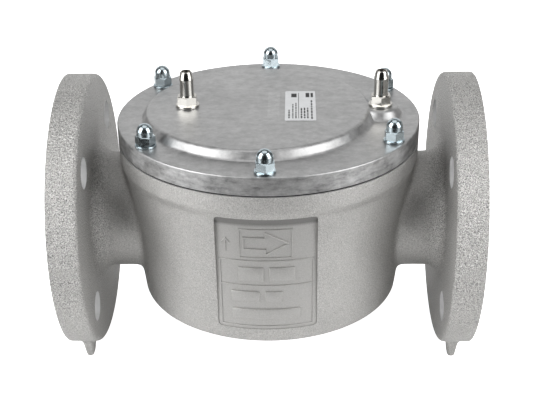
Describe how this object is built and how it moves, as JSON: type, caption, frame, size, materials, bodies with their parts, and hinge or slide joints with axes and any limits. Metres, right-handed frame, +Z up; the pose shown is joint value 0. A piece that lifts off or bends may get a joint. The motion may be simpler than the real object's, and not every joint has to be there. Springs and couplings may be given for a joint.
{
  "type": "gas filter",
  "caption": "Flanged DN 50 pipeline gas filter: cast round housing between two flanges, bolted cover with test nipples, and a lift-out fleece cartridge inside.",
  "frame": {"origin": "middle of the face-to-face length, on the surface that the feet stand on; the pipe axis is 84.5 mm above it", "axes": "+X along the pipe in the flow direction, +Y to the back, away from the side with the raised panel, +Z up"},
  "size_m": [0.243, 0.1778, 0.1731],
  "materials": {
    "cast_body": "shot-blasted sand casting, satin",
    "cast_cover": "die-cast skin, satin with cloudy flow marks",
    "seal_rubber": "matt black NBR",
    "zinc_steel": "bright blue zinc plate",
    "nickel_brass": "bright nickel plate",
    "screw_steel": "plain turned steel, dull",
    "label_film": "silver polyester film",
    "sheet_steel": "galvanised sheet",
    "fleece": "matt non-woven polyester"
  },
  "bodies": {
    "housing": {"filter_body": "cast_body", "cover_gasket": "seal_rubber", "stud_1": "zinc_steel", "stud_2": "zinc_steel", "stud_3": "zinc_steel", "stud_4": "zinc_steel", "stud_5": "zinc_steel", "stud_6": "zinc_steel"},
    "lid": {"cover": "cast_cover", "name_label": "label_film", "washer_1": "zinc_steel", "washer_2": "zinc_steel", "washer_3": "zinc_steel", "washer_4": "zinc_steel", "washer_5": "zinc_steel", "washer_6": "zinc_steel", "test_nipple_inlet": "nickel_brass", "test_nipple_outlet": "nickel_brass", "nipple_seal_inlet": "nickel_brass", "nipple_seal_outlet": "nickel_brass"},
    "nut_1": {"cap_nut_1": "zinc_steel"},
    "nut_2": {"cap_nut_2": "zinc_steel"},
    "nut_3": {"cap_nut_3": "zinc_steel"},
    "nut_4": {"cap_nut_4": "zinc_steel"},
    "nut_5": {"cap_nut_5": "zinc_steel"},
    "nut_6": {"cap_nut_6": "zinc_steel"},
    "screw_inlet": {"nipple_screw_inlet": "screw_steel"},
    "screw_outlet": {"nipple_screw_outlet": "screw_steel"},
    "cartridge": {"cartridge_seal": "seal_rubber", "cartridge_base": "sheet_steel", "cartridge_cage": "sheet_steel", "cartridge_fleece": "fleece", "cartridge_cap": "sheet_steel"}
  },
  "joints": [
    {"name": "lid_lift", "type": "slide", "parent": "housing", "child": "lid", "axis": [0, 0, 1], "range_m": [0, 0.16]},
    {"name": "cartridge_lift", "type": "slide", "parent": "housing", "child": "cartridge", "axis": [0, 0, 1], "range_m": [0, 0.08]},
    {"name": "nut_1_turn", "type": "hinge", "parent": "lid", "child": "nut_1", "pos_m": [0, -0.082, 0.148], "axis": [0, 0, 1], "continuous": true},
    {"name": "nut_2_turn", "type": "hinge", "parent": "lid", "child": "nut_2", "pos_m": [0.07101, -0.041, 0.148], "axis": [0, 0, 1], "continuous": true},
    {"name": "nut_3_turn", "type": "hinge", "parent": "lid", "child": "nut_3", "pos_m": [0.07101, 0.041, 0.148], "axis": [0, 0, 1], "continuous": true},
    {"name": "nut_4_turn", "type": "hinge", "parent": "lid", "child": "nut_4", "pos_m": [0, 0.082, 0.148], "axis": [0, 0, 1], "continuous": true},
    {"name": "nut_5_turn", "type": "hinge", "parent": "lid", "child": "nut_5", "pos_m": [-0.06717, 0.04703, 0.148], "axis": [0, 0, 1], "continuous": true},
    {"name": "nut_6_turn", "type": "hinge", "parent": "lid", "child": "nut_6", "pos_m": [-0.06717, -0.04703, 0.148], "axis": [0, 0, 1], "continuous": true},
    {"name": "screw_inlet_turn", "type": "hinge", "parent": "lid", "child": "screw_inlet", "pos_m": [-0.0475, 0, 0.168], "axis": [0, 0, 1], "range_deg": [0, 540]},
    {"name": "screw_outlet_turn", "type": "hinge", "parent": "lid", "child": "screw_outlet", "pos_m": [0.066, 0, 0.168], "axis": [0, 0, 1], "range_deg": [0, 540]}
  ],
  "couplings": [
    {"joint": "cartridge_lift", "follows": "lid_lift", "ratio": 0.5}
  ]
}
